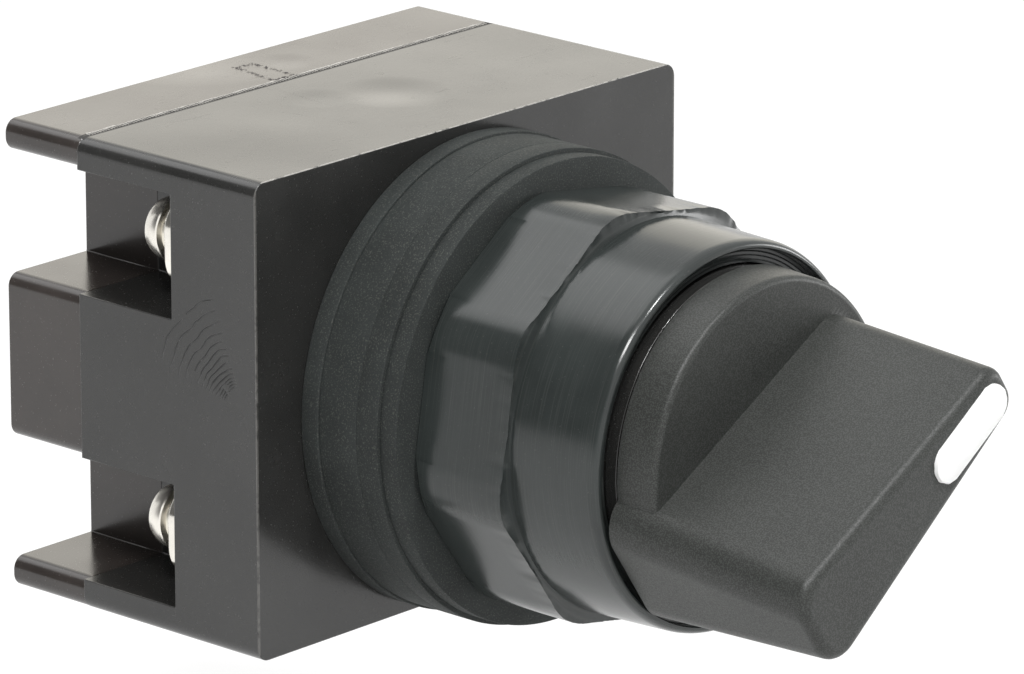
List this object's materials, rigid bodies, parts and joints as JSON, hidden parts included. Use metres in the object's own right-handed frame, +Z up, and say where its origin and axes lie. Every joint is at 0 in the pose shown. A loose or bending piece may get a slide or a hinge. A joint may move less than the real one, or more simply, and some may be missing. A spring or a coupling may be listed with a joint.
{
  "type": "selector switch",
  "caption": "Panel-mounted rotary selector switch: lever knob with index, ring nut, gaskets on a threaded bushing, and an E-shaped contact block with screw terminals.",
  "frame": {"origin": "on the knob's axis, at the front face of the gasket stack, where the rear face of the panel lies", "axes": "+Y along the knob's axis to the rear, +Z up the height of the block, +X to the right as seen from the front"},
  "size_m": [0.054, 0.0827, 0.0439],
  "materials": {
    "housing_black": "moulded, glossy, brownish black",
    "cover_black": "moulded, glossy, brownish black",
    "gasket_rubber": "matte, speckled",
    "nut_plastic": "semi-gloss with turning marks",
    "knob_plastic": "finely textured",
    "insert_white": "plain white",
    "seal_rubber": "matte",
    "rotor_acetal": "natural, unpainted",
    "plunger_red": "moulded",
    "bridge_copper": "bright",
    "contact_silver": "bright",
    "terminal_nickel": "nickel plated",
    "screw_nickel": "nickel plated",
    "spring_steel": "drawn wire and strip"
  },
  "bodies": {
    "housing": {"front_housing": "housing_black", "rear_cover": "cover_black", "gasket_rear": "gasket_rubber", "gasket_spacer": "gasket_rubber", "gasket_middle": "gasket_rubber", "gasket_front": "gasket_rubber", "ring_nut": "nut_plastic", "detent_spring": "spring_steel", "return_spring_upper": "spring_steel", "return_spring_lower": "spring_steel", "fixed_contact_upper_left": "contact_silver", "fixed_contact_upper_right": "contact_silver", "fixed_contact_lower_left": "contact_silver", "fixed_contact_lower_right": "contact_silver", "terminal_upper_left": "terminal_nickel", "terminal_upper_right": "terminal_nickel", "terminal_lower_left": "terminal_nickel", "terminal_lower_right": "terminal_nickel", "screw_upper_left": "screw_nickel", "screw_upper_right": "screw_nickel", "screw_lower_left": "screw_nickel", "screw_lower_right": "screw_nickel"},
    "operator": {"knob": "knob_plastic", "index_insert": "insert_white", "stem_seal": "seal_rubber", "rotor": "rotor_acetal", "rotor_screw": "screw_nickel"},
    "upper_plunger": {"plunger_upper": "plunger_red", "contact_bridge_upper": "bridge_copper", "bridge_contact_upper_left": "contact_silver", "bridge_contact_upper_right": "contact_silver", "contact_spring_upper": "spring_steel"},
    "lower_plunger": {"plunger_lower": "plunger_red", "contact_bridge_lower": "bridge_copper", "bridge_contact_lower_left": "contact_silver", "bridge_contact_lower_right": "contact_silver", "contact_spring_lower": "spring_steel"}
  },
  "joints": [
    {"name": "knob_turn", "type": "hinge", "parent": "housing", "child": "operator", "pos_m": [0, 0, 0], "axis": [0, 1, 0], "range_deg": [0, 68], "deforming": ["detent_spring"]},
    {"name": "upper_plunger_slide", "type": "slide", "parent": "housing", "child": "upper_plunger", "axis": [0, 1, 0], "range_m": [-0.00341, 0], "deforming": ["return_spring_upper"]},
    {"name": "lower_plunger_slide", "type": "slide", "parent": "housing", "child": "lower_plunger", "axis": [0, 1, 0], "range_m": [0, 0.00341], "deforming": ["return_spring_lower"]}
  ],
  "couplings": [
    {"joint": "upper_plunger_slide", "follows": "knob_turn", "m_per_rad": -0.0028648},
    {"joint": "lower_plunger_slide", "follows": "knob_turn", "m_per_rad": 0.0028648}
  ]
}
